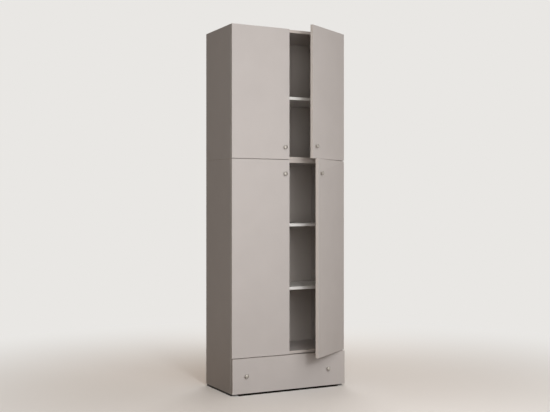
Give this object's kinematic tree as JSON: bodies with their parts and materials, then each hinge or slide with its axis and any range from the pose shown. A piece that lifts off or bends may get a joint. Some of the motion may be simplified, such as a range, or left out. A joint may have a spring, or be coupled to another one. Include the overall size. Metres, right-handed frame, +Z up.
{
  "type": "filing cabinet",
  "caption": "Tall narrow filing cabinet of greige chipboard: an upper box stacked on a lower one, hinged doors with round knobs, adjustable file shelves and a base drawer on roller runners.",
  "frame": {"origin": "on the floor, on the cabinet's centre plane, midway between its foremost and rearmost points with the right doors ajar", "axes": "+X to the viewer's right when facing the doors, +Y from the front to the back, +Z up"},
  "size_m": [0.7023, 0.554, 1.9955],
  "materials": {
    "greige_melamine": "satin",
    "white_melamine": "satin",
    "hardboard": "matte",
    "black_plastic": "matte",
    "white_plastic": "satin",
    "coated_steel": "satin",
    "nickel_steel": "satin",
    "satin_metal": "satin"
  },
  "bodies": {
    "carcass": {"lower_left_side": "greige_melamine", "lower_right_side": "greige_melamine", "upper_left_side": "greige_melamine", "upper_right_side": "greige_melamine", "bottom_board": "greige_melamine", "drawer_divider": "greige_melamine", "lower_top_board": "greige_melamine", "upper_floor_board": "greige_melamine", "top_board": "greige_melamine", "lower_shelf": "white_melamine", "middle_shelf": "white_melamine", "upper_shelf": "white_melamine", "lower_back": "hardboard", "upper_back": "hardboard", "left_skid": "black_plastic", "right_skid": "black_plastic", "left_carcass_rail": "coated_steel", "right_carcass_rail": "coated_steel", "lower_left_door_hinge_arm_1": "nickel_steel", "lower_left_door_hinge_arm_2": "nickel_steel", "lower_left_door_hinge_arm_3": "nickel_steel", "lower_right_door_hinge_arm_1": "nickel_steel", "lower_right_door_hinge_arm_2": "nickel_steel", "lower_right_door_hinge_arm_3": "nickel_steel", "upper_left_door_hinge_arm_1": "nickel_steel", "upper_left_door_hinge_arm_2": "nickel_steel", "upper_right_door_hinge_arm_1": "nickel_steel", "upper_right_door_hinge_arm_2": "nickel_steel"},
    "lower_left_door": {"lower_left_door": "greige_melamine", "lower_left_door_knob": "satin_metal", "lower_left_door_hinge_cup_1": "nickel_steel", "lower_left_door_hinge_cup_2": "nickel_steel", "lower_left_door_hinge_cup_3": "nickel_steel"},
    "lower_right_door": {"lower_right_door": "greige_melamine", "lower_right_door_knob": "satin_metal", "lower_right_door_hinge_cup_1": "nickel_steel", "lower_right_door_hinge_cup_2": "nickel_steel", "lower_right_door_hinge_cup_3": "nickel_steel"},
    "upper_left_door": {"upper_left_door": "greige_melamine", "upper_left_door_knob": "satin_metal", "upper_left_door_hinge_cup_1": "nickel_steel", "upper_left_door_hinge_cup_2": "nickel_steel"},
    "upper_right_door": {"upper_right_door": "greige_melamine", "upper_right_door_knob": "satin_metal", "upper_right_door_hinge_cup_1": "nickel_steel", "upper_right_door_hinge_cup_2": "nickel_steel"},
    "drawer": {"drawer_front": "greige_melamine", "drawer_left_side": "greige_melamine", "drawer_right_side": "greige_melamine", "drawer_back": "greige_melamine", "drawer_bottom": "hardboard", "left_drawer_rail": "coated_steel", "right_drawer_rail": "coated_steel", "drawer_left_knob": "satin_metal", "drawer_right_knob": "satin_metal"},
    "left_front_roller": {"left_front_roller": "white_plastic"},
    "right_front_roller": {"right_front_roller": "white_plastic"},
    "left_rear_roller": {"left_rear_roller": "white_plastic"},
    "right_rear_roller": {"right_rear_roller": "white_plastic"}
  },
  "joints": [
    {"name": "lower_left_door_swing", "type": "hinge", "parent": "carcass", "child": "lower_left_door", "pos_m": [-0.34251, -0.07203, 0.7373], "axis": [0, 0, -1], "range_deg": [0, 95]},
    {"name": "lower_right_door_swing", "type": "hinge", "parent": "carcass", "child": "lower_right_door", "pos_m": [0.34251, -0.07203, 0.7373], "axis": [0, 0, 1], "range_deg": [-35.3, 59.7]},
    {"name": "upper_left_door_swing", "type": "hinge", "parent": "carcass", "child": "upper_left_door", "pos_m": [-0.34251, -0.07203, 1.6358], "axis": [0, 0, -1], "range_deg": [0, 95]},
    {"name": "upper_right_door_swing", "type": "hinge", "parent": "carcass", "child": "upper_right_door", "pos_m": [0.34251, -0.07203, 1.6358], "axis": [0, 0, 1], "range_deg": [-30, 65]},
    {"name": "drawer_slide", "type": "slide", "parent": "carcass", "child": "drawer", "axis": [0, -1, 0], "range_m": [-0.007, 0.233]},
    {"name": "left_front_roller_spin", "type": "hinge", "parent": "carcass", "child": "left_front_roller", "pos_m": [-0.3285, -0.04503, 0.053], "axis": [1, 0, 0], "continuous": true},
    {"name": "right_front_roller_spin", "type": "hinge", "parent": "carcass", "child": "right_front_roller", "pos_m": [0.3285, -0.04503, 0.053], "axis": [1, 0, 0], "continuous": true},
    {"name": "left_rear_roller_spin", "type": "hinge", "parent": "drawer", "child": "left_rear_roller", "pos_m": [-0.327, 0.21777, 0.051], "axis": [1, 0, 0], "continuous": true},
    {"name": "right_rear_roller_spin", "type": "hinge", "parent": "drawer", "child": "right_rear_roller", "pos_m": [0.327, 0.21777, 0.051], "axis": [1, 0, 0], "continuous": true}
  ],
  "couplings": [
    {"joint": "left_front_roller_spin", "follows": "drawer_slide", "rad_per_m": 105.26},
    {"joint": "right_front_roller_spin", "follows": "drawer_slide", "rad_per_m": 105.26},
    {"joint": "left_rear_roller_spin", "follows": "drawer_slide", "rad_per_m": 105.26},
    {"joint": "right_rear_roller_spin", "follows": "drawer_slide", "rad_per_m": 105.26}
  ]
}
